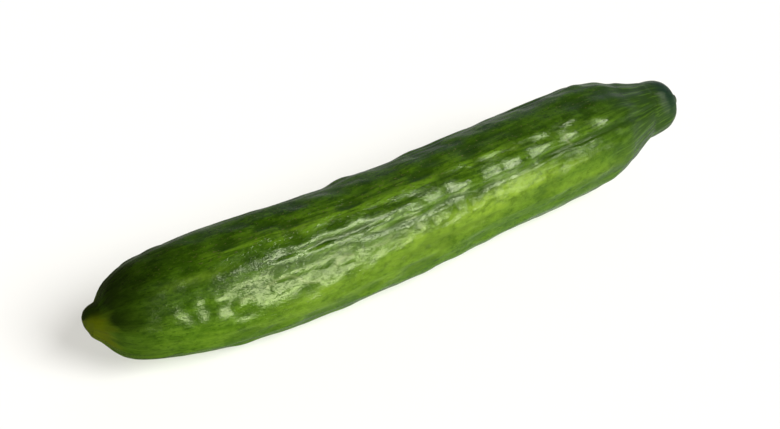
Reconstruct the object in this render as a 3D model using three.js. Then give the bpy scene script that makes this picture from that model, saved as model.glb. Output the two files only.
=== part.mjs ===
// A long cucumber lying on its belly, as one closed solid.
//
// Frame: millimetres, +Z up. The blossom end points to -X and the stem end to +X. The origin is the
// bottom centre of the bounding box, so the belly rests on z = 0.
//
// The body is swept along a gently bent spine. Each cross-section is a circle whose radius comes from
// the same list of stations, with lengthwise furrows and a few swellings laid over it by formula, and
// the belly is cut flat where it meets the surface that the fruit lies on.
//
// Angles go round the body in degrees: 0 is the top, 90 is the -Y side and 180 is the belly.

import * as THREE from 'three';
import { mergeVertices } from 'three/addons/utils/BufferGeometryUtils.js';

// ---- driving dimensions ----

const SIDES = 72; // facets round the body
const RINGS = 80; // facets from tip to tip
const TIP_CROWDING = 0.5; // 0 spaces the rings evenly, towards 1 they crowd at both tips

// Spine and radius from the blossom tip to the stem tip: x, sideways offset y, height z, radius.
const STATIONS = [
  { x: -150.0, y: 5.8, z: 29.2, radius: 0.0 }, // blossom tip
  { x: -149.3, y: 5.8, z: 29.1, radius: 3.2 },
  { x: -147.3, y: 5.6, z: 28.7, radius: 5.8 },
  { x: -143.9, y: 4.9, z: 27.8, radius: 8.8 },
  { x: -138.7, y: 4.3, z: 27.0, radius: 14.8 },
  { x: -130.0, y: 3.4, z: 26.0, radius: 19.6 },
  { x: -117.0, y: 2.3, z: 25.4, radius: 22.5 },
  { x: -98.0, y: -0.1, z: 24.9, radius: 25.2 }, // full width reached
  { x: -70.0, y: -2.9, z: 25.0, radius: 26.0 },
  { x: -35.0, y: -4.4, z: 25.0, radius: 25.8 }, // deepest point of the bend
  { x: 0.0, y: -3.3, z: 25.0, radius: 25.7 },
  { x: 35.0, y: -1.1, z: 24.8, radius: 25.3 },
  { x: 68.0, y: 0.4, z: 24.7, radius: 25.4 },
  { x: 95.0, y: 1.6, z: 24.7, radius: 25.2 },
  { x: 112.0, y: 2.6, z: 24.9, radius: 22.8 }, // shoulder
  { x: 123.8, y: 2.5, z: 25.1, radius: 17.7 },
  { x: 132.4, y: 3.1, z: 25.3, radius: 14.5 }, // neck
  { x: 138.2, y: 2.7, z: 25.4, radius: 13.8 },
  { x: 145.7, y: 1.2, z: 26.6, radius: 12.1 }, // knob
  { x: 149.5, y: 0.4, z: 27.2, radius: 9.6 },
  { x: 151.1, y: 0.1, z: 27.4, radius: 6.2 },
  { x: 151.9, y: -0.2, z: 27.6, radius: 2.9 }, // root of the stalk stub
  { x: 153.8, y: -0.8, z: 27.8, radius: 2.2 },
  { x: 154.4, y: -1.0, z: 27.9, radius: 0.0 }, // broken end of the stub
];

// Lengthwise furrows between the ribs. Each runs from one x to another, sways by `sway` degrees over
// a wave of `wave` millimetres, and is `depth` deep and about twice `half` degrees wide.
const FURROWS = [
  { angle: 26, depth: 0.35, half: 5.5, from: -100, to: 148, sway: 1.2, wave: 130, shift: 0.1 },
  { angle: 47.5, depth: 0.8, half: 3.3, from: -46, to: 150, sway: 1.6, wave: 58, shift: 0.6 },
  { angle: 50, depth: 0.2, half: 7.0, from: -118, to: -64, sway: 2.0, wave: 90, shift: 0.2 },
  { angle: 7, depth: 0.7, half: 9.0, from: -112, to: 142, sway: 2.0, wave: 150, shift: 0.4 },
  { angle: 82, depth: 0.45, half: 6.5, from: -46, to: 149, sway: 2.2, wave: 118, shift: 0.0 },
  { angle: 103, depth: 0.4, half: 8.0, from: -104, to: 146, sway: 2.0, wave: 140, shift: 0.7 },
  { angle: 128, depth: 0.6, half: 8.0, from: -120, to: 149, sway: 1.8, wave: 105, shift: 0.3 },
  { angle: 152, depth: 0.8, half: 7.0, from: -110, to: 144, sway: 1.5, wave: 125, shift: 0.9 },
  { angle: 208, depth: 0.8, half: 7.0, from: -114, to: 148, sway: 1.6, wave: 120, shift: 0.5 },
  { angle: 234, depth: 0.9, half: 7.0, from: -106, to: 150, sway: 2.0, wave: 98, shift: 0.1 },
  { angle: 258, depth: 0.8, half: 6.5, from: -122, to: 145, sway: 1.8, wave: 134, shift: 0.8 },
  { angle: 281, depth: 1.0, half: 6.0, from: -100, to: 149, sway: 2.0, wave: 88, shift: 0.4 },
  { angle: 303, depth: 0.8, half: 6.5, from: -118, to: 146, sway: 1.6, wave: 142, shift: 0.2 },
  { angle: 324, depth: 0.9, half: 6.0, from: -96, to: 150, sway: 1.8, wave: 112, shift: 0.6 },
  { angle: 344, depth: 0.25, half: 7.0, from: -116, to: 147, sway: 1.6, wave: 96, shift: 0.9 },
];
const FURROW_FADE = 26; // length over which a furrow dies out at each end
const SHOULDER_X = 118; // where the furrows are deepest, as the ribs gather into the neck
const SHOULDER_REACH = 16;
const SHOULDER_GAIN = 0.6;

// Broad swellings (height above 0) and hollows (below 0) of the body: centre, height, length, spread.
const SWELLINGS = [
  { x: -26, angle: 315, height: 0.7, length: 8, spread: 16 },
  { x: -37, angle: 315, height: -0.6, length: 7, spread: 18 },
  { x: -52, angle: 315, height: -0.5, length: 10, spread: 16 },
  { x: -8, angle: 315, height: -0.5, length: 7, spread: 16 },
  { x: 13, angle: 315, height: 0.3, length: 6, spread: 16 },
  { x: 99, angle: 333, height: 0.6, length: 8, spread: 14 },
  { x: -72, angle: 65, height: -0.85, length: 36, spread: 13 },
  { x: 34, angle: 64, height: 0.4, length: 26, spread: 12 },
  { x: -14, angle: 92, height: -0.4, length: 22, spread: 16 },
  { x: 8, angle: 118, height: 0.5, length: 30, spread: 15 },
  { x: -84, angle: 112, height: -0.4, length: 20, spread: 18 },
  { x: 60, angle: 236, height: 0.5, length: 30, spread: 18 },
  { x: -20, angle: 262, height: -0.5, length: 26, spread: 16 },
  { x: -78, angle: 284, height: 0.6, length: 28, spread: 18 },
];

const RELIEF_FULL_RADIUS = 12; // the relief fades out towards both tips below this radius
const BELLY = 180;
const BELLY_CLEAR = 14; // the relief is left off this far either side of the belly's middle

// ---- the form ----

const toRadians = THREE.MathUtils.degToRad;

// Smooth step from 0 below `low` to 1 above `high`.
function rise(value, low, high) {
  return THREE.MathUtils.smoothstep(value, low, high);
}

// Bell curve: 1 at 0, near 0 beyond 2.
function bell(distance) {
  return Math.exp(-distance * distance);
}

// Shortest signed way round from one angle to another, in degrees.
function turn(from, to) {
  return THREE.MathUtils.euclideanModulo(to - from + 180, 360) - 180;
}

function furrowDepth(furrow, x, angle) {
  const swayed = furrow.angle + furrow.sway * Math.sin(2 * Math.PI * (x / furrow.wave + furrow.shift));
  const along = rise(x, furrow.from, furrow.from + FURROW_FADE)
    * (1 - rise(x, furrow.to - FURROW_FADE, furrow.to));
  return furrow.depth * along * bell(turn(swayed, angle) / furrow.half);
}

function swellingHeight(swelling, x, angle) {
  const along = bell((x - swelling.x) / swelling.length);
  return swelling.height * along * bell(turn(swelling.angle, angle) / swelling.spread);
}

// Height of the skin above the plain circle of radius `radius`.
function relief(x, angle, radius) {
  const gather = 1 + SHOULDER_GAIN * bell((x - SHOULDER_X) / SHOULDER_REACH);
  let height = 0;
  for (const furrow of FURROWS) height -= gather * furrowDepth(furrow, x, angle);
  for (const swelling of SWELLINGS) height += swellingHeight(swelling, x, angle);
  const offBelly = rise(Math.abs(turn(BELLY, angle)), BELLY_CLEAR / 2, BELLY_CLEAR);
  return height * offBelly * rise(radius, 0, RELIEF_FULL_RADIUS);
}

function smoothCurve(points) {
  return new THREE.CatmullRomCurve3(points, false, 'catmullrom', 0.5);
}

const spine = smoothCurve(STATIONS.map(({ x, y, z }) => new THREE.Vector3(x, y, z)));
const profile = smoothCurve(STATIONS.map(({ x, radius }) => new THREE.Vector3(x, radius, 0)));

// Share of the skin's length at which a ring lies, from its share of the rings.
function crowded(share) {
  return share - TIP_CROWDING * Math.sin(2 * Math.PI * share) / (2 * Math.PI);
}

// One point of the skin, `along` from 0 at the blossom tip to 1 at the stem tip by skin length.
function skinPoint(along, angle) {
  const t = profile.getUtoTmapping(along);
  const centre = spine.getPoint(t);
  const tangent = spine.getTangent(t);
  const side = new THREE.Vector3(-tangent.y, tangent.x, 0).normalize();
  const up = new THREE.Vector3().crossVectors(tangent, side);
  const radius = Math.max(profile.getPoint(t).y, 0);
  const reach = radius + relief(centre.x, angle, radius);
  const point = centre
    .addScaledVector(side, -reach * Math.sin(toRadians(angle)))
    .addScaledVector(up, reach * Math.cos(toRadians(angle)));
  point.z = Math.max(point.z, 0);
  return point;
}

// A ball's grid of facets, with every vertex moved on to the skin.
function cucumberGeometry() {
  const geometry = new THREE.SphereGeometry(1, SIDES, RINGS);
  const position = geometry.getAttribute('position');
  const grid = geometry.getAttribute('uv');
  for (let i = 0; i < position.count; i += 1) {
    const point = skinPoint(crowded(1 - grid.getY(i)), 360 * (1 - grid.getX(i)));
    position.setXYZ(i, point.x, point.y, point.z);
  }
  geometry.deleteAttribute('normal');
  geometry.deleteAttribute('uv');
  const skin = mergeVertices(geometry, 1e-4);
  skin.computeBoundingBox();
  const middle = skin.boundingBox.getCenter(new THREE.Vector3());
  skin.translate(-middle.x, -middle.y, -skin.boundingBox.min.z);
  skin.computeVertexNormals();
  return skin;
}

// ---- the scene graph ----

const skinMaterial = new THREE.MeshStandardMaterial({ color: 0x52761c, roughness: 0.35, metalness: 0 });

const cucumber = new THREE.Mesh(cucumberGeometry(), skinMaterial);
cucumber.name = 'cucumber';

const model = new THREE.Group();
model.add(cucumber);

export default model;
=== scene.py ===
import math

import bpy
import numpy as np
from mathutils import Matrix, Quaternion, Vector


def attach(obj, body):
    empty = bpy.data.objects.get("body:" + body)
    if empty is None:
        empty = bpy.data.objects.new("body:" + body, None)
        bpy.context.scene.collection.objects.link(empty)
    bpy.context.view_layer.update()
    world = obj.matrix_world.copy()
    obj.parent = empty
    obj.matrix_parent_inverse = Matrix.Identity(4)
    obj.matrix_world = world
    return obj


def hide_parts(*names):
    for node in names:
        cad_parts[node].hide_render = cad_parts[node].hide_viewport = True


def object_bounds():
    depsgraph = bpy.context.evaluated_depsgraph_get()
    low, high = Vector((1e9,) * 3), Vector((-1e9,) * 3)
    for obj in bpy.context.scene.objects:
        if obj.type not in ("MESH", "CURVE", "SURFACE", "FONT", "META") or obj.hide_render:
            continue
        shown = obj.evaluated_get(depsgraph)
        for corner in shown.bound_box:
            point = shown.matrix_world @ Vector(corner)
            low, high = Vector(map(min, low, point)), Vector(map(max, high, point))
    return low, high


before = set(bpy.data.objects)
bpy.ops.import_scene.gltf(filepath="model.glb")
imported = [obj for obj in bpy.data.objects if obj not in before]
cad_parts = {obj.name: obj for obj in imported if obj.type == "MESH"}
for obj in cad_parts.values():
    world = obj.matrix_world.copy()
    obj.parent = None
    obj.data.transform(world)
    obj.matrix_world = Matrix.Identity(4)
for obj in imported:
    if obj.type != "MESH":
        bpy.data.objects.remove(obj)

# The looks of one long cucumber lying on its belly. Shapes are worked out in millimetres, as in the
# part's own source, and turned into metres when the mesh is made. Angles go round the body in
# degrees: 0 is the top, 90 is the -Y side, 180 is the belly. The blossom end points to -X.

CAD_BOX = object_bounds()
MM = 0.001

# ---- the form, as the part has it ----

# x, sideways offset y, height z, radius, from the blossom tip to the end of the stalk stub
STATIONS = np.array([
    (-150.0, 5.8, 29.2, 0.0),
    (-149.3, 5.8, 29.1, 3.2),
    (-147.3, 5.6, 28.7, 5.8),
    (-143.9, 4.9, 27.8, 8.8),
    (-138.7, 4.3, 27.0, 14.8),
    (-130.0, 3.4, 26.0, 19.6),
    (-117.0, 2.3, 25.4, 22.5),
    (-98.0, -0.1, 24.9, 25.2),
    (-70.0, -2.9, 25.0, 26.0),
    (-35.0, -4.4, 25.0, 25.8),
    (0.0, -3.3, 25.0, 25.7),
    (35.0, -1.1, 24.8, 25.3),
    (68.0, 0.4, 24.7, 25.4),
    (95.0, 1.6, 24.7, 25.2),
    (112.0, 2.6, 24.9, 22.8),
    (123.8, 2.5, 25.1, 17.7),
    (132.4, 3.1, 25.3, 14.5),
    (138.2, 2.7, 25.4, 13.8),
    (145.7, 1.2, 26.6, 12.1),
    (149.5, 0.4, 27.2, 9.6),
    (151.1, 0.1, 27.4, 6.2),
    (151.9, -0.2, 27.6, 2.9),
    (153.8, -0.8, 27.8, 2.2),
    (154.4, -1.0, 27.9, 0.0),
])

# angle, depth, half width, from x, to x, sway in degrees, wave length, shift of the wave
FURROWS = (
    (26, 0.35, 5.5, -100, 148, 1.2, 130, 0.1),
    (47.5, 0.8, 3.3, -46, 150, 1.6, 58, 0.6),
    (50, 0.2, 7.0, -118, -64, 2.0, 90, 0.2),
    (7, 0.7, 9.0, -112, 142, 2.0, 150, 0.4),
    (82, 0.45, 6.5, -46, 149, 2.2, 118, 0.0),
    (103, 0.4, 8.0, -104, 146, 2.0, 140, 0.7),
    (128, 0.6, 8.0, -120, 149, 1.8, 105, 0.3),
    (152, 0.8, 7.0, -110, 144, 1.5, 125, 0.9),
    (208, 0.8, 7.0, -114, 148, 1.6, 120, 0.5),
    (234, 0.9, 7.0, -106, 150, 2.0, 98, 0.1),
    (258, 0.8, 6.5, -122, 145, 1.8, 134, 0.8),
    (281, 1.0, 6.0, -100, 149, 2.0, 88, 0.4),
    (303, 0.8, 6.5, -118, 146, 1.6, 142, 0.2),
    (324, 0.9, 6.0, -96, 150, 1.8, 112, 0.6),
    (344, 0.25, 7.0, -116, 147, 1.6, 96, 0.9),
)
FURROW_FADE = 26.0
SHOULDER_X = 118.0
SHOULDER_REACH = 16.0
SHOULDER_GAIN = 0.6

# x, angle, height, length, spread in degrees
SWELLINGS = (
    (-26, 315, 0.7, 8, 16),
    (-37, 315, -0.6, 7, 18),
    (-52, 315, -0.5, 10, 16),
    (-8, 315, -0.5, 7, 16),
    (13, 315, 0.3, 6, 16),
    (99, 333, 0.6, 8, 14),
    (-72, 65, -0.85, 36, 13),
    (34, 64, 0.4, 26, 12),
    (-14, 92, -0.4, 22, 16),
    (8, 118, 0.5, 30, 15),
    (-84, 112, -0.4, 20, 18),
    (60, 236, 0.5, 30, 18),
    (-20, 262, -0.5, 26, 16),
    (-78, 284, 0.6, 28, 18),
)

RELIEF_FULL_RADIUS = 12.0
BELLY = 180.0
BELLY_CLEAR = 14.0

# ---- what this scene adds to the form ----

RINGS = 428  # stretches from tip to tip
SIDES = 224  # points round each ring
PLACE_RADIUS = 25.0  # radius of the plain tube on which patterns and noise are laid out
LENGTH_SAMPLES = 6001  # points at which the length of the skin is measured
SMALL_STEP = 1e-4  # share of the spine over which its direction is taken

# Noise fields: seed, height, and the length of a cell along the fruit and across it
ANGLE_WARPS = ((1, 2.0, 30, 16), (2, 1.5, 10, 7), (3, 0.5, 4, 4))
DEPTH_SWAY = (4, 0.45, 18, 10)
LUMPS = (11, 0.50, 9, 4.8)
KNOTS = (12, 0.15, 4.6, 3.4)
WRINKLES = (13, 0.20, 4.0, 2.6)
GRAIN = (14, 0.06, 2.1, 1.7)
BLOCK_SWAY = (15, 0.35, 14, 9)
FOLDS = (16, 1.0, 5.0, 3.2)
RAGGED = (31, 1.0, 5, 4)
CREST_SWAY = (32, 3.0, 20, 12)

FOLD_DEPTH = 0.26
FOLD_ROUNDING = 0.02
FAIR_SKIN = 0.22  # share of the knots, wrinkles and folds outside the rough bands
ROUGH_GAIN = 0.9
ROUGH_BANDS = ((61, 9, 1.0), (37, 6, 0.5))  # angle, half width, share
ROUGH_SPAN = (-96, -76, 0, 60)  # x where the bands start, are full, wane and end
QUIET_BAND = (47, 5)  # angle and half width of the smooth channel between the rough bands
QUIET_END = (-38, -26)
QUIETING = 0.8
BLOCKS = ((-104, 63, 0.22, 20, 12),)  # a row of low blocks: x, angle, height, length, spread
BLOCK_LENGTH = 9.3
SMOOTH_NECK = (112, 132, 0.6)  # from x, to x, share of the fine relief that is gone there
# weight of the fine relief in the depth that sets the painted shade of the furrows and creases
HOLLOW_SHADE_GAIN = 1.5

# Slender creases between and on the ribs: angle, depth, half width, from x, to x
CREASES = (
    (39.5, 0.42, 2.3, -80, -16),
    (13.0, 0.22, 2.4, -70, 60),
    (56.5, 0.16, 2.0, 20, 96),
    (62.5, 0.18, 2.2, 44, 112),
    (70.0, 0.20, 2.4, -30, 24),
    (88.0, 0.20, 2.6, -60, 10),
    (94.0, 0.22, 2.4, 16, 104),
    (-24.0, 0.25, 3.0, -20, 100),
)
CREASE_FADE = 14.0

# Creases strewn over the whole skin: how many, and the range each value is drawn from
LOOSE_CREASES = 60
LOOSE_SEED = 5
LOOSE_START = (-120, 90)
LOOSE_ANGLE = (-180, 180)
LOOSE_DEPTH = (0.06, 0.18)
LOOSE_HALF = (1.3, 2.6)
LOOSE_LENGTH = (24, 90)

# Small knolls on the ribs: x, angle, height, length, spread in degrees
KNOLLS = (
    (-92, 39, 0.30, 3.4, 5),
    (-76, 40, 0.30, 4.0, 5),
    (-21, 36, 0.30, 2.5, 5),
    (-8, 42, 0.35, 4.0, 5),
    (18, 38, 0.40, 3.5, 6),
    (35, 38, 0.30, 1.8, 6),
    (46, 38, 0.30, 3.0, 6),
    (79, 38, 0.35, 3.0, 6),
    (99, 40, 0.40, 4.0, 7),
    (-86, 19, 0.25, 6.0, 2.0),
    (-60, 17, 0.30, 4.0, 2.2),
    (-52, 20, 0.30, 3.0, 2.2),
    (-27, 22, 0.30, 3.0, 2.2),
    (23, 24, 0.30, 3.0, 2.2),
    (47, 24, 0.30, 3.0, 2.2),
    (82, 23, 0.25, 6.0, 2.0),
)

# The neck and the knob at the stem end: flatter shoulder, fuller neck, front leaning to the stalk
KNOB_FORM = (
    (119, -48, -1.0, 4.5, 36),
    (126.6, -48, 1.3, 7.2, 36),
    (137.5, -48, -0.55, 4.5, 36),
    (119.5, 122, 0.6, 3.5, 34),
    (127, 122, -0.45, 3.5, 34),
    (134.5, 40, 0.45, 5.0, 34),
    (146, 40, -0.6, 6.0, 34),
)

# Thin curved scars on the skin, each bent from its start over its middle to its end: (x, angle) each
SCARS = (
    ((-80, 60), (-71, 50), (-66, 65)),
    ((-66, 65), (-64, 70), (-59, 71)),
    ((-51, 63), (-49, 54), (-43, 58)),
    ((74, 34), (72, 41), (75, 46)),
    ((-92, 66), (-88, 58), (-86, 67)),
    ((-34, 57), (-29, 62), (-25, 56)),
)
SCAR_WIDTH = 0.55
SCAR_HEIGHT = 0.10
SCAR_STEPS = 25

# Paler yellowish green patches, and one painted sheen (the row at x -106): x, angle, strength, length,
# spread in degrees
YELLOW_SPOTS_AND_SHEEN = (
    (38, 62, 1.00, 20, 8),
    (20, 62, 0.25, 40, 9),
    (12, 70, 0.55, 50, 12),
    (4, 81, 0.50, 42, 8),
    (-46, 81, 0.22, 34, 9),
    (-50, 99, 0.45, 50, 10),
    # painted sheen: lighter green where the rib catches the light near the blossom end
    (-106, 33, 0.35, 14, 5),
    (78, 90, 0.25, 36, 10),
    (24, 67, 0.70, 7, 7),
    (52, 64, 0.50, 16, 6),
    (-5, 92, 0.50, 9, 7),
    (-62, 84, 0.35, 14, 6),
    (76, 66, 0.35, 14, 4),
    (80, 86, 0.25, 16, 8),
    (-18, 66, 0.35, 8, 6),
    (-60, 17, 0.35, 8, 3),
    (46, 25, 0.35, 5, 3),
)

# Edge of the brownish scar at the blossom tip, which reaches further along the lower front
NUB_EDGE = -143.6
NUB_LOBE = (104, 40, 2.6)  # angle, spread, extra length
NUB_RAGGEDNESS = 1.8
NUB_BLEND = (-2.6, 3.0)

# Painted shade at the blossom end, where it turns away from the light: full up to its start and gone by its
# end, which is later on top
BLOSSOM_SHADE_SHARE = 0.88
BLOSSOM_START = -144
BLOSSOM_END = -108
BLOSSOM_TOP = (26, 16)  # spread in degrees, extra length
BLOSSOM_UNDER = (66, 80, 0.35)  # from angle, to angle, share lost there
BLOSSOM_RAGGEDNESS = 3

NECK_SPAN = (76, 132)
NECK_RAGGEDNESS = 4
KNOB_SPAN = (139, 147)

# The brighter rib beside the top: its crest moves slowly towards the front as it nears the stem end. In
# front of it, lighter green is painted as sheen under the upper sheen band.
CREST_ANGLE = 18.5
CREST_MIDDLE = -50
CREST_CLIMB = 0.06
CREST_HALF = 6
RIB_SIDE = (8, 7, 0.5)  # angle, half width and share of the brighter skin above the crest
RIB_WANE = (35, 60, 0.75)  # from x, to x, share lost there
PAINTED_SHEEN_FRONT = (39, 8, 0.5)  # angle, half width and share of the painted sheen: lighter green in front of the crest, under the upper sheen band
PAINTED_SHEEN_SPAN = (-78, -50)
RIB_SPAN = (-112, -84, 96, 122)


def rise(value, low, high):
    """Smooth step from 0 below low to 1 above high."""
    share = np.clip((value - low) / (high - low), 0, 1)
    return share * share * (3 - 2 * share)


def span(value, start, full, wane, end):
    """0 up to start, 1 from full to wane, and 0 again beyond end."""
    return rise(value, start, full) * (1 - rise(value, wane, end))


def bell(distance):
    """Bell curve: 1 at 0, near 0 beyond 2."""
    return np.exp(-distance * distance)


def turn(start, end):
    """Shortest signed way round from one angle to another, in degrees."""
    return np.mod(end - start + 180, 360) - 180


def smooth_curve(points, t):
    """Uniform Catmull-Rom curve through the points, with its end points reflected."""
    ends = np.vstack([2 * points[0] - points[1], points, 2 * points[-1] - points[-2]])
    place = t * (len(points) - 1)
    first = np.minimum(np.floor(place).astype(int), len(points) - 2)
    w = (place - first)[:, None]
    before, start, end, after = (ends[first + k] for k in range(4))
    leave = (end - before) / 2
    arrive = (after - start) / 2
    bend = -3 * start + 3 * end - 2 * leave - arrive
    twist = 2 * start - 2 * end + leave + arrive
    return start + leave * w + bend * w**2 + twist * w**3


def furrow_relief(x, angle):
    """Height that the furrows take off the skin, so zero or less."""
    gather = 1 + SHOULDER_GAIN * bell((x - SHOULDER_X) / SHOULDER_REACH)
    height = 0
    for centre, depth, half, start, end, sway, wave, shift in FURROWS:
        swayed = centre + sway * np.sin(2 * math.pi * (x / wave + shift))
        along = span(x, start, start + FURROW_FADE, end - FURROW_FADE, end)
        height = height - gather * depth * along * bell(turn(swayed, angle) / half)
    return height


def mound_relief(mounds, x, angle):
    """Sum of rounded mounds, each given by its x, angle, height, length and spread in degrees."""
    total = 0
    for centre, middle, height, length, spread in mounds:
        total = total + height * bell((x - centre) / length) * bell(turn(middle, angle) / spread)
    return total


class Noise:
    """Smooth random field of values from -1 to 1, the same on every run."""

    SIZE = 64

    def __init__(self, seed):
        self.values = np.random.default_rng(seed).uniform(-1, 1, (self.SIZE,) * 3)

    def at(self, x, y, z):
        cells = [np.floor(c).astype(int) for c in (x, y, z)]
        parts = [c - k for c, k in zip((x, y, z), cells)]
        parts = [p * p * p * (p * (6 * p - 15) + 10) for p in parts]
        total = 0
        for i in (0, 1):
            for j in (0, 1):
                for k in (0, 1):
                    corner = [(c + o) % self.SIZE for c, o in zip(cells, (i, j, k))]
                    weight = 1
                    for p, o in zip(parts, (i, j, k)):
                        weight = weight * (p if o else 1 - p)
                    total = total + weight * self.values[tuple(corner)]
        return total


class Skin:
    """Points of the skin on rings from tip to tip, with the height of the relief and its masks."""

    def __init__(self):
        fine = np.linspace(0, 1, LENGTH_SAMPLES)
        outline = smooth_curve(STATIONS[:, [0, 3]], fine)
        steps = np.hypot(*np.diff(outline, axis=0).T)
        length = np.concatenate([[0], np.cumsum(steps)])
        t = np.interp(np.linspace(0, length[-1], RINGS + 1), length, fine)[1:-1]
        centre = smooth_curve(STATIONS[:, :3], t)
        radius = np.maximum(smooth_curve(STATIONS[:, 3:], t)[:, 0], 0)
        ahead, behind = (smooth_curve(STATIONS[:, :3], t + step) for step in (SMALL_STEP, -SMALL_STEP))
        tangent = ahead - behind
        tangent /= np.linalg.norm(tangent, axis=1)[:, None]
        side = np.stack([-tangent[:, 1], tangent[:, 0], 0 * t], 1)
        side /= np.linalg.norm(side, axis=1)[:, None]
        up = np.cross(tangent, side)
        self.x = np.repeat(centre[:, :1], SIDES, 1)
        self.angle = np.repeat(BELLY + np.arange(SIDES)[None, :] * 360 / SIDES, len(t), 0)
        self.radius = np.repeat(radius[:, None], SIDES, 1)
        turned = np.radians(self.angle)
        self.y = PLACE_RADIUS * np.sin(turned)
        self.z = PLACE_RADIUS * np.cos(turned)
        self.shape_relief()
        reach = (self.radius + self.relief)[..., None]
        outward = np.cos(turned)[..., None] * up[:, None] - np.sin(turned)[..., None] * side[:, None]
        self.points = centre[:, None] + reach * outward
        self.tips = smooth_curve(STATIONS[:, :3], np.array([0.0, 1.0]))

    def noise(self, seed, height, along, across):
        """Noise of this height over the skin, with cells of these lengths along and across it."""
        return height * Noise(seed).at(self.x / along, self.y / across, self.z / across)

    def shape_relief(self):
        """Height of the skin above the plain circle, from the broad forms to the fine ones."""
        x = self.x
        warped = self.angle + sum(self.noise(*warp) for warp in ANGLE_WARPS)
        depth = 1 + self.noise(*DEPTH_SWAY)
        ribs = furrow_relief(x, warped) * depth + mound_relief(SWELLINGS, x, self.angle)
        rough = sum(share * bell(turn(middle, self.angle) / half) for middle, half, share in ROUGH_BANDS)
        bumpy = FAIR_SKIN + ROUGH_GAIN * rough * span(x, *ROUGH_SPAN)
        middle, half = QUIET_BAND
        quiet = bell(turn(middle, self.angle) / half) * (1 - rise(x, *QUIET_END))
        lumps = self.noise(*LUMPS) + mound_relief(KNOLLS, x, warped)
        folds = np.sqrt(self.noise(*FOLDS) ** 2 + FOLD_ROUNDING)
        texture = self.noise(*KNOTS) + self.noise(*WRINKLES) + self.noise(*GRAIN) - FOLD_DEPTH * folds
        beat = np.sin(2 * math.pi * (x / BLOCK_LENGTH + self.noise(*BLOCK_SWAY)))
        blocks = beat * mound_relief(BLOCKS, x, self.angle)
        fine = (lumps + bumpy * texture) * (1 - QUIETING * quiet) + blocks - self.creases(warped)
        self.scar = self.scars()
        off_belly = rise(np.abs(turn(BELLY, self.angle)), BELLY_CLEAR / 2, BELLY_CLEAR)
        fade = off_belly * rise(self.radius, 0, RELIEF_FULL_RADIUS)
        neck_start, neck_end, smoothing = SMOOTH_NECK
        smooth_neck = 1 - smoothing * rise(x, neck_start, neck_end)
        knob = mound_relief(KNOB_FORM, x, self.angle)
        self.relief = (ribs + fine * smooth_neck + knob + SCAR_HEIGHT * self.scar) * fade
        # painted shade: how deep the skin lies in the furrows and creases, used to darken them
        self.hollow_shade = np.clip(-ribs - fine * HOLLOW_SHADE_GAIN, 0, 1)

    def creases(self, angle):
        """Depth of the slender creases: the listed ones, and loose ones strewn over the skin."""
        draw = np.random.default_rng(LOOSE_SEED)
        rows = list(CREASES)
        for _ in range(LOOSE_CREASES):
            start = draw.uniform(*LOOSE_START)
            rows.append((
                draw.uniform(*LOOSE_ANGLE),
                draw.uniform(*LOOSE_DEPTH),
                draw.uniform(*LOOSE_HALF),
                start,
                start + draw.uniform(*LOOSE_LENGTH),
            ))
        depth = 0
        for middle, deep, half, start, end in rows:
            along = span(self.x, start, start + CREASE_FADE, end - CREASE_FADE, end)
            depth = depth + deep * along * bell(turn(middle, angle) / half)
        return depth

    def scars(self):
        """1 along the middle line of each scar, falling to 0 beside it."""
        nearest = np.full(self.x.shape, np.inf)
        per_degree = PLACE_RADIUS * math.radians(1)
        for start, middle, end in SCARS:
            for s in np.linspace(0, 1, SCAR_STEPS):
                weights = ((1 - s) ** 2, 2 * s * (1 - s), s * s)
                x = sum(w * point[0] for w, point in zip(weights, (start, middle, end)))
                angle = sum(w * point[1] for w, point in zip(weights, (start, middle, end)))
                away = np.hypot(self.x - x, turn(angle, self.angle) * per_degree)
                nearest = np.minimum(nearest, away)
        return bell(nearest / SCAR_WIDTH)

    def masks(self):
        """Share of each special colour at every point of the skin, painted shade and painted sheen
        included, by attribute name.
        """
        x, angle = self.x, turn(0, self.angle)
        ragged = self.noise(*RAGGED)
        middle, spread, longer = NUB_LOBE
        nub_edge = NUB_EDGE + longer * bell(turn(middle, angle) / spread) + NUB_RAGGEDNESS * ragged
        nub = 1 - rise(x, nub_edge + NUB_BLEND[0], nub_edge + NUB_BLEND[1])
        start, end, lost = BLOSSOM_UNDER
        under = 1 - lost * rise(np.abs(angle), start, end)
        spread, longer = BLOSSOM_TOP
        blossom_end = BLOSSOM_END + longer * bell(angle / spread)
        # painted shade over the blossom end, weaker underneath
        blossom = 1 - rise(x + BLOSSOM_RAGGEDNESS * ragged, BLOSSOM_START, blossom_end)
        blossom = BLOSSOM_SHADE_SHARE * under * blossom * (1 - nub)
        neck = rise(x + NECK_RAGGEDNESS * ragged, *NECK_SPAN)
        crest = CREST_ANGLE + CREST_CLIMB * (x - CREST_MIDDLE) + self.noise(*CREST_SWAY)
        middle, half, share = RIB_SIDE
        bright = bell((angle - crest) / CREST_HALF) + share * bell((angle - middle) / half)
        start, end, lost = RIB_WANE
        bright = bright * (1 - lost * rise(x, start, end))
        # painted sheen: lighter green in front of the crest, under the upper sheen band
        middle, half, share = PAINTED_SHEEN_FRONT
        bright = bright + share * bell((angle - middle) / half) * rise(x, *PAINTED_SHEEN_SPAN)
        return {
            "hollow_shade": self.hollow_shade,
            "nub": nub,
            "blossom": blossom,
            "neck": neck,
            "knob": rise(x, *KNOB_SPAN),
            "yellow_and_sheen": np.clip(mound_relief(YELLOW_SPOTS_AND_SHEEN, x, angle), 0, 1),
            "bright_rib_and_sheen": np.clip(bright * span(x, *RIB_SPAN), 0, 1),
            "scar": self.scar,
        }


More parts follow.
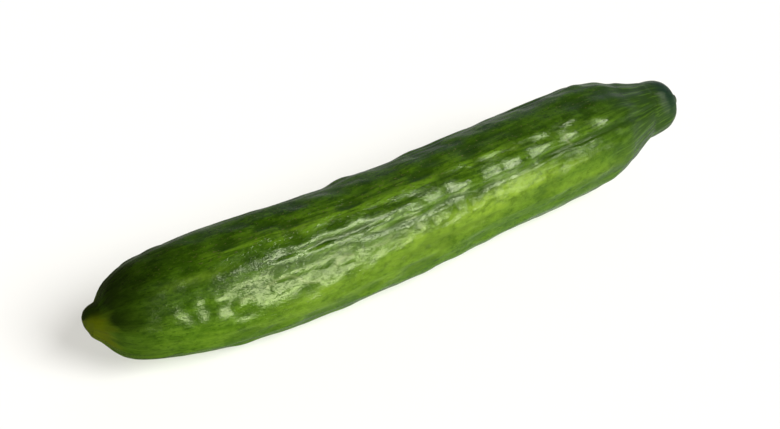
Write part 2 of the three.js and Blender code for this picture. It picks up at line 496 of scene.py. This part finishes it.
def lay_flat(mesh, rings, sides):
    """UV map with the fruit's length across and its round upwards, one fan of triangles at each tip."""
    uv = []
    for ring in range(rings - 1):
        left, right = (ring + 1) / (rings + 1), (ring + 2) / (rings + 1)
        for k in range(sides):
            low, high = k / sides, (k + 1) / sides
            uv += [(left, low), (right, low), (right, high), (left, high)]
    first, last = 1 / (rings + 1), rings / (rings + 1)
    for k in range(sides):
        uv += [(0, (k + 0.5) / sides), (first, k / sides), (first, (k + 1) / sides)]
    for k in range(sides):
        uv += [(1, (k + 0.5) / sides), (last, (k + 1) / sides), (last, k / sides)]
    mesh.uv_layers.new(name="OFBake").uv.foreach_set("vector", np.array(uv, np.float32).ravel())


def cucumber_piece():
    """The whole cucumber as one mesh in the part's own place, and how far its form was shifted for it."""
    skin = Skin()
    points = skin.points
    points[..., 2] = np.maximum(points[..., 2], 0)
    rings, sides = skin.x.shape
    low = np.minimum(points.reshape(-1, 3).min(0), skin.tips.min(0))
    high = np.maximum(points.reshape(-1, 3).max(0), skin.tips.max(0))
    cad_low, cad_high = (np.array(corner) / MM for corner in CAD_BOX)
    shift = (cad_low + cad_high - low - high) / 2
    shift[2] = 0
    vertices = np.vstack([points.reshape(-1, 3), skin.tips]) + shift
    grid = np.arange(rings * sides).reshape(rings, sides)
    after = np.roll(grid, -1, 1)
    quads = np.stack([grid[:-1], grid[1:], after[1:], after[:-1]], -1).reshape(-1, 4)
    blossom_tip, stem_tip = rings * sides, rings * sides + 1
    fans = [(blossom_tip, int(grid[0, k]), int(after[0, k])) for k in range(sides)]
    fans += [(stem_tip, int(after[-1, k]), int(grid[-1, k])) for k in range(sides)]
    mesh = bpy.data.meshes.new("cucumber_skin")
    mesh.from_pydata((vertices * MM).tolist(), [], quads.tolist() + fans)
    mesh.polygons.foreach_set("use_smooth", np.ones(len(mesh.polygons), bool))
    for name, values in skin.masks().items():
        layer = mesh.attributes.new(name, "FLOAT", "POINT")
        ends = [values[0].mean(), values[-1].mean()]
        layer.data.foreach_set("value", np.concatenate([values.ravel(), ends]).astype(np.float32))
    place = np.stack([skin.x, skin.y, skin.z], -1).reshape(-1, 3)
    tip_places = np.array([[STATIONS[0, 0], 0, 0], [STATIONS[-1, 0], 0, 0]])
    layer = mesh.attributes.new("place", "FLOAT_VECTOR", "POINT")
    layer.data.foreach_set("vector", np.vstack([place, tip_places]).astype(np.float32).ravel())
    lay_flat(mesh, rings, sides)
    mesh.update()
    made = bpy.data.objects.new("cucumber_skin", mesh)
    bpy.context.scene.collection.objects.link(made)
    return made, shift


# ---- the skin's material ----

# Colours, as linear red, green and blue
DEEP_GREEN = (0.018, 0.058, 0.001)
DARK_GREEN = (0.042, 0.112, 0.002)
MID_GREEN = (0.088, 0.205, 0.006)
LIGHT_GREEN = (0.150, 0.300, 0.014)
RIB_AND_SHEEN_GREEN = (0.178, 0.355, 0.014)
YELLOW_GREEN = (0.310, 0.500, 0.035)
# near-black green of the painted shade at the blossom end
SHADE_BLACK_GREEN = (0.007, 0.014, 0.001)
OLIVE = (0.100, 0.124, 0.001)
NECK_GREEN = (0.030, 0.078, 0.007)
NECK_LIGHT = (0.112, 0.235, 0.020)
TAN = (0.170, 0.170, 0.055)
KNOB_TEAL = (0.016, 0.048, 0.030)
SCAR_PALE = (0.300, 0.380, 0.130)

MASK_NAMES = ("hollow_shade", "nub", "blossom", "neck", "knob", "yellow_and_sheen", "bright_rib_and_sheen", "scar")
STREAK_RAMP = (0.48, 0.66)

# Noise patterns of the skin: cell length along and across in millimetres, detail, roughness, offset
PATTERNS = {
    "clouds": (13.0, 6.0, 2.0, 0.5, 29.0),
    "streaks": (14.0, 1.6, 3.0, 0.5, 3.0),
    "fine_streaks": (5.0, 0.9, 3.0, 0.5, 11.0),
    "blotches": (5.0, 3.2, 4.0, 0.65, 23.0),
    "mottle": (1.9, 1.2, 3.0, 0.65, 51.0),
    "dashes": (2.4, 1.0, 1.0, 0.5, 67.0),
    "flecks": (1.5, 0.8, 1.0, 0.5, 83.0),
    "grain": (1.1, 0.8, 2.0, 0.5, 37.0),
    "pits": (2.0, 1.3, 2.0, 0.6, 97.0),
}

# How each pattern tints the skin: value where the tint starts, value where it is full, share, tint
FIRST_TINTS = (
    ("streaks", *STREAK_RAMP, 0.60, "light"),
    ("clouds", 0.50, 0.64, 0.35, "light"),
)
LATER_TINTS = (
    ("blotches", 0.50, 0.70, 0.75, "light"),
    ("blotches", 0.47, 0.30, 0.75, "deep"),
    ("mottle", 0.52, 0.72, 0.60, "light"),
    ("mottle", 0.46, 0.28, 0.60, "deep"),
    ("dashes", 0.38, 0.26, 0.80, "deep"),
    ("fine_streaks", 0.42, 0.28, 0.60, "deep"),
)

# Ramps of the skin: value where it starts, value where it ends, and what it goes from and to
TOP_RAMP = (2.0, 24.5)  # height above the axis where the flank's colours turn into the top's
DARK_CLOUDS = (0.48, 0.34)
DARK_SHARE = (6.0, 21.0, 0.42, 0.75)
RIB_STREAKS = (0.42, 0.54, 0.2, 1.0)
RIB_MOTTLE = (0.32, 0.52, 0.45, 1.0)
YELLOW_BLOTCHES = (0.3, 0.62, 0.35, 1.0)
HOLLOW_SHADE_RAMP = (0.25, 1.0)
FLECK_RAMP = (0.64, 0.75)
FLECK_HEIGHT = (21.0, 24.8)
KNOB_HEIGHT = (-8.0, 22.0, 0.1, 0.9)
NUB_SHADE_HEIGHT = (13.0, 25.0)
FLECK_SHARE = 0.8
NECK_STREAKS = 0.7
NECK_SHARE = 0.9
NUB_SHARE = 0.9
SCAR_SHARE = 0.55

# Gloss and bump of the skin
ROUGHNESS_MOTTLE = (0.3, 0.7, 0.18, 0.26)
DULL_NECK = (0.3, 1.0)
DULL_GAIN = 0.10
ROUGHNESS_MOST = 0.265
WAX_IOR = 1.26
WAX_TINT = (0.92, 1.0, 0.68, 1)
PIT_RAMP = (0.56, 0.64)
PIT_START = (-102.0, -86.0)  # x where the pits begin and are full
PIT_WANE = (-30.0, 20.0, 0.9, 0.2)  # x where they wane, and their depth before and after
BUMP_MOTTLE = 1.6
BUMP_HEIGHT = 0.20 * MM
BUMP_STRENGTH = 0.42


class Nodes:
    """Short ways to add nodes to one material."""

    def __init__(self, name):
        self.material = bpy.data.materials.new(name)
        self.material.use_nodes = True
        self.tree = self.material.node_tree
        self.shader = self.tree.nodes["Principled BSDF"]

    def add(self, kind, **settings):
        """A new node with these settings."""
        node = self.tree.nodes.new(kind)
        for key, value in settings.items():
            setattr(node, key, value)
        return node

    def plug(self, socket, value):
        """Links another node's output to the socket, or sets the socket to a plain value."""
        if isinstance(value, bpy.types.NodeSocket):
            self.tree.links.new(value, socket)
        else:
            socket.default_value = value

    def attribute(self, name):
        """The mesh's own values of this name."""
        return self.add("ShaderNodeAttribute", attribute_name=name)

    def math(self, operation, a, b):
        node = self.add("ShaderNodeMath", operation=operation)
        self.plug(node.inputs[0], a)
        self.plug(node.inputs[1], b)
        return node.outputs[0]

    def times(self, a, b):
        return self.math("MULTIPLY", a, b)

    def ramp(self, value, low, high, to_low=0.0, to_high=1.0):
        """Smooth step from to_low at low to to_high at high."""
        node = self.add("ShaderNodeMapRange", interpolation_type="SMOOTHSTEP")
        self.plug(node.inputs["Value"], value)
        self.plug(node.inputs["From Min"], low)
        self.plug(node.inputs["From Max"], high)
        self.plug(node.inputs["To Min"], to_low)
        self.plug(node.inputs["To Max"], to_high)
        return node.outputs["Result"]

    def mix(self, share, a, b):
        """Colour a with this share of colour b over it."""
        node = self.add("ShaderNodeMix", data_type="RGBA")
        self.plug(node.inputs["Factor"], share)
        self.plug(node.inputs[6], a if isinstance(a, bpy.types.NodeSocket) else (*a, 1))
        self.plug(node.inputs[7], b if isinstance(b, bpy.types.NodeSocket) else (*b, 1))
        return node.outputs[2]

    def scaled(self, place, along, across, offset):
        """The place in cells of these lengths in millimetres along and across the fruit."""
        mapping = self.add("ShaderNodeMapping")
        self.plug(mapping.inputs["Vector"], place)
        mapping.inputs["Scale"].default_value = (1 / along, 1 / across, 1 / across)
        mapping.inputs["Location"].default_value = (offset, offset, offset)
        return mapping.outputs[0]

    def noise(self, place, along, across, detail, roughness, offset):
        """Noise from 0 to 1 with cells of these lengths, finer with detail, from a place of its own."""
        node = self.add("ShaderNodeTexNoise")
        self.plug(node.inputs["Vector"], self.scaled(place, along, across, offset))
        node.inputs["Scale"].default_value = 1.0
        node.inputs["Detail"].default_value = detail
        node.inputs["Roughness"].default_value = roughness
        return node.outputs[0]


def skin_material():
    """The waxy skin: colour from the patterns and masks, soft gloss, and a fine bump with small pits."""
    n = Nodes("cucumber_skin")
    place = n.attribute("place").outputs["Vector"]
    split = n.add("ShaderNodeSeparateXYZ")
    n.plug(split.inputs[0], place)
    length, height = split.outputs["X"], split.outputs["Z"]
    mask = {name: n.attribute(name).outputs["Fac"] for name in MASK_NAMES}
    pattern = {name: n.noise(place, *settings) for name, settings in PATTERNS.items()}
    colour = skin_colour(n, height, mask, pattern)
    n.plug(n.shader.inputs["Base Color"], colour)

    dull = n.math("MAXIMUM", n.ramp(mask["neck"], *DULL_NECK), mask["nub"])
    rough = n.math("ADD", n.ramp(pattern["mottle"], *ROUGHNESS_MOTTLE), n.times(dull, DULL_GAIN))
    n.plug(n.shader.inputs["Roughness"], n.math("MINIMUM", rough, ROUGHNESS_MOST))
    n.shader.inputs["IOR"].default_value = WAX_IOR
    n.shader.inputs["Specular Tint"].default_value = WAX_TINT

    pitted = n.times(n.ramp(pattern["pits"], *PIT_RAMP), n.ramp(length, *PIT_WANE))
    pitted = n.times(pitted, n.ramp(length, *PIT_START))
    relief = n.math("ADD", pattern["grain"], n.times(pattern["mottle"], BUMP_MOTTLE))
    bump = n.add("ShaderNodeBump")
    bump.inputs["Distance"].default_value = BUMP_HEIGHT
    bump.inputs["Strength"].default_value = BUMP_STRENGTH
    n.plug(bump.inputs["Height"], n.math("SUBTRACT", relief, pitted))
    n.plug(n.shader.inputs["Normal"], bump.outputs["Normal"])
    return n.material


def skin_colour(n, height, mask, pattern):
    """The skin's colour: tinted by the patterns, then by the ribs and spots, with painted shade in the
    hollows and over the blossom end, painted sheen in front of the rib, and both ends.
    """
    top = n.ramp(height, *TOP_RAMP)
    tints = {
        "light": n.mix(top, LIGHT_GREEN, MID_GREEN),
        "deep": n.mix(top, DARK_GREEN, DEEP_GREEN),
    }
    dark_share = n.ramp(height, *DARK_SHARE)

    def tinted(colour, rows):
        for name, low, high, share, tint in rows:
            colour = n.mix(n.ramp(pattern[name], low, high, 0.0, share), colour, tints[tint])
        return colour

    colour = tinted(n.mix(top, MID_GREEN, DARK_GREEN), FIRST_TINTS)
    colour = n.mix(n.times(n.ramp(pattern["clouds"], *DARK_CLOUDS), dark_share), colour, tints["deep"])
    colour = tinted(colour, LATER_TINTS)

    # the lighter green of the rib crest, and in front of it the painted sheen
    rib = n.times(mask["bright_rib_and_sheen"], n.ramp(pattern["streaks"], *RIB_STREAKS))
    rib = n.times(rib, n.ramp(pattern["mottle"], *RIB_MOTTLE))
    colour = n.mix(rib, colour, RIB_AND_SHEEN_GREEN)
    # paler yellowish green patches of the skin, and one painted sheen
    yellow_and_sheen = n.times(mask["yellow_and_sheen"], n.ramp(pattern["blotches"], *YELLOW_BLOTCHES))
    colour = n.mix(yellow_and_sheen, colour, YELLOW_GREEN)
    # painted shade: the skin is darkened in the furrows and creases, more so towards the top
    colour = n.mix(n.times(n.ramp(mask["hollow_shade"], *HOLLOW_SHADE_RAMP), dark_share), colour, tints["deep"])
    fleck = n.times(n.ramp(pattern["flecks"], *FLECK_RAMP), n.ramp(height, *FLECK_HEIGHT))
    colour = n.mix(n.times(fleck, FLECK_SHARE), colour, TAN)

    neck_streak = n.times(n.ramp(pattern["streaks"], *STREAK_RAMP), NECK_STREAKS)
    neck = n.mix(neck_streak, NECK_GREEN, NECK_LIGHT)
    colour = n.mix(n.times(mask["neck"], NECK_SHARE), colour, neck)
    colour = n.mix(n.times(mask["knob"], n.ramp(height, *KNOB_HEIGHT)), colour, KNOB_TEAL)
    # painted shade: near-black green over the blossom end
    colour = n.mix(mask["blossom"], colour, SHADE_BLACK_GREEN)
    # painted shade: the tip's olive scar turns to near-black green towards its top
    nub = n.mix(n.ramp(height, *NUB_SHADE_HEIGHT), OLIVE, SHADE_BLACK_GREEN)
    colour = n.mix(n.times(mask["nub"], NUB_SHARE), colour, nub)
    return n.mix(n.times(mask["scar"], SCAR_SHARE), colour, SCAR_PALE)


cucumber, FORM_SHIFT = cucumber_piece()
cucumber.data.materials.append(skin_material())
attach(cucumber, "root")
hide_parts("cucumber")

# ---- stage ----

FLOOR_REACH = 12.0  # from the middle to each edge, in metres
FLOOR_WHITE = (0.8, 0.8, 0.8, 1)
FLOOR_ROUGHNESS = 0.9
LIGHT_DISTANCE = 1.3

# What the room shows by direction: dim, with one paler part, and below the horizon what stands for
# the floor in the glossy skin, paler towards +X. The ramps are in parts of a unit direction.
ROOM_DIM = (0.075, 0.065, 0.045)
ROOM_PALE = (0.36, 0.42, 0.46)
ROOM_PALE_AT = (130, 15)  # azimuth and elevation
ROOM_PALE_RAMP = (0.72, 1.0)
FLOOR_GLOW_DIM = (0.09, 0.10, 0.05)
FLOOR_GLOW_PALE = (0.50, 0.55, 0.48)
FLOOR_GLOW_RAMP = (0.05, 0.5)
HORIZON_RAMP = (-0.02, 0.10)


def floor():
    """A plain white floor. The glossy skin mirrors the room's lower half in its place."""
    data = bpy.data.meshes.new("floor")
    r = FLOOR_REACH
    data.from_pydata([(-r, -r, 0), (r, -r, 0), (r, r, 0), (-r, r, 0)], [], [(0, 1, 2, 3)])
    made = bpy.data.objects.new("floor", data)
    bpy.context.scene.collection.objects.link(made)
    material = bpy.data.materials.new("floor_white")
    material.use_nodes = True
    shader = material.node_tree.nodes["Principled BSDF"]
    shader.inputs["Base Color"].default_value = FLOOR_WHITE
    shader.inputs["Roughness"].default_value = FLOOR_ROUGHNESS
    shader.inputs["Specular IOR Level"].default_value = 0.0
    data.materials.append(material)
    made.visible_glossy = False
    return made


def direction(azimuth, elevation):
    """Unit vector towards a place seen from the object: azimuth 0 is -Y, 90 is +X."""
    a, e = math.radians(azimuth), math.radians(elevation)
    return Vector((math.sin(a) * math.cos(e), -math.cos(a) * math.cos(e), math.sin(e)))


def light_object(name, kind, azimuth, elevation, colour, roll=0.0):
    """A light at the usual distance in that direction, facing the object, rolled by some degrees."""
    data = bpy.data.lights.new(name, kind)
    data.color = colour
    made = bpy.data.objects.new(name, data)
    towards = direction(azimuth, elevation)
    made.location = towards * LIGHT_DISTANCE
    turned = towards.to_track_quat("Z", "Y") @ Quaternion((0, 0, 1), math.radians(roll))
    made.rotation_euler = turned.to_euler()
    bpy.context.scene.collection.objects.link(made)
    return made


def area_light(name, azimuth, elevation, width, height, radiance, colour=(1, 1, 1), roll=0.0):
    """A flat light of this width and height in metres, as bright as `radiance` all over."""
    made = light_object(name, "AREA", azimuth, elevation, colour, roll)
    made.data.shape = "RECTANGLE"
    made.data.size = width
    made.data.size_y = height
    made.data.energy = radiance * math.pi * width * height
    return made


def sun(name, azimuth, elevation, softness, strength, colour):
    """A light from very far off, as wide in the sky as `softness` degrees."""
    made = light_object(name, "SUN", azimuth, elevation, colour)
    made.data.angle = math.radians(softness)
    made.data.energy = strength
    return made


def light_only(light, lit):
    """Keeps a light to one object, as a photographer's flag does."""
    group = bpy.data.collections.new(light.name + "_lights")
    group.objects.link(lit)
    light.light_linking.receiver_collection = group


FLOOR = floor()
FLOOR_KEY = sun("floor_key", azimuth=30, elevation=42, softness=34, strength=2.5, colour=(1.0, 1.0, 0.98))
FLOOR_FILL = sun("floor_fill", azimuth=0, elevation=80, softness=10, strength=2.2, colour=(1.0, 0.98, 0.94))
FLOOR_FILL.data.use_shadow = False
for light in (FLOOR_KEY, FLOOR_FILL):
    light_only(light, FLOOR)

LOW_SHEEN = area_light(
    "low_sheen", azimuth=7, elevation=12, width=0.78, height=0.52, radiance=34.0, colour=(1.0, 1.0, 0.84),
)
SIDE_SHEEN = area_light("side_sheen", azimuth=34, elevation=18, width=0.24, height=0.34, radiance=19.0)
HIGH_SHEEN = area_light(
    "high_sheen", azimuth=33.5, elevation=53.5, width=0.75, height=0.30, radiance=47.0, roll=-10,
)
for light in (LOW_SHEEN, SIDE_SHEEN, HIGH_SHEEN):
    light.visible_diffuse = False
    light_only(light, cucumber)

SOFT_KEY = area_light(
    "soft_key", azimuth=0, elevation=45, width=1.3, height=0.84, radiance=3.6, colour=(1.0, 1.0, 0.95),
)
SOFT_KEY.visible_glossy = False
light_only(SOFT_KEY, cucumber)


def room():
    """The world: the dim room above, and below it what the glossy skin mirrors in place of the floor."""
    world = bpy.data.worlds.new("room")
    world.use_nodes = True
    tree = world.node_tree
    background = tree.nodes["Background"]
    split = tree.nodes.new("ShaderNodeSeparateXYZ")
    coordinates = tree.nodes.new("ShaderNodeTexCoord")
    tree.links.new(coordinates.outputs["Generated"], split.inputs[0])

    def ramp(value, low, high):
        node = tree.nodes.new("ShaderNodeMapRange")
        tree.links.new(value, node.inputs["Value"])
        node.inputs["From Min"].default_value = low
        node.inputs["From Max"].default_value = high
        return node.outputs["Result"]

    def mix(share, a, b):
        node = tree.nodes.new("ShaderNodeMix")
        node.data_type = "RGBA"
        tree.links.new(share, node.inputs["Factor"])
        for socket, colour in ((node.inputs[6], a), (node.inputs[7], b)):
            if isinstance(colour, bpy.types.NodeSocket):
                tree.links.new(colour, socket)
            else:
                socket.default_value = (*colour, 1)
        return node.outputs[2]

    towards_pale = tree.nodes.new("ShaderNodeVectorMath")
    towards_pale.operation = "DOT_PRODUCT"
    tree.links.new(coordinates.outputs["Generated"], towards_pale.inputs[0])
    towards_pale.inputs[1].default_value = direction(*ROOM_PALE_AT)
    above = mix(ramp(towards_pale.outputs["Value"], *ROOM_PALE_RAMP), ROOM_DIM, ROOM_PALE)
    below = mix(ramp(split.outputs["X"], *FLOOR_GLOW_RAMP), FLOOR_GLOW_DIM, FLOOR_GLOW_PALE)
    colour = mix(ramp(split.outputs["Z"], *HORIZON_RAMP), below, above)
    tree.links.new(colour, background.inputs["Color"])
    background.inputs["Strength"].default_value = 1.0
    bpy.context.scene.world = world


room()
bpy.context.scene.view_settings.view_transform = "Standard"

CAMERA_AIM = (-8.2, 2.35, 24.0)  # in the stations' own frame
CAMERA_TARGET = (Vector(CAMERA_AIM) + Vector(FORM_SHIFT)) * MM
CAMERA_DISTANCE = 580 * MM
CAMERA_AZIMUTH = -32.0
CAMERA_ELEVATION = 40.0
CAMERA_LENS = 60.6
SENSOR_WIDTH = 36.0
CAMERA_NEAR = 0.01
CAMERA_FAR = 100.0


def camera():
    """Looks down at the cucumber from its front, at the blossom end's side."""
    data = bpy.data.cameras.new("camera")
    data.lens = CAMERA_LENS
    data.sensor_width = SENSOR_WIDTH
    data.clip_start = CAMERA_NEAR
    data.clip_end = CAMERA_FAR
    made = bpy.data.objects.new("camera", data)
    back = direction(CAMERA_AZIMUTH, CAMERA_ELEVATION)
    made.location = CAMERA_TARGET + back * CAMERA_DISTANCE
    made.rotation_euler = (-back).to_track_quat("-Z", "Y").to_euler()
    bpy.context.scene.collection.objects.link(made)
    bpy.context.scene.camera = made


camera()
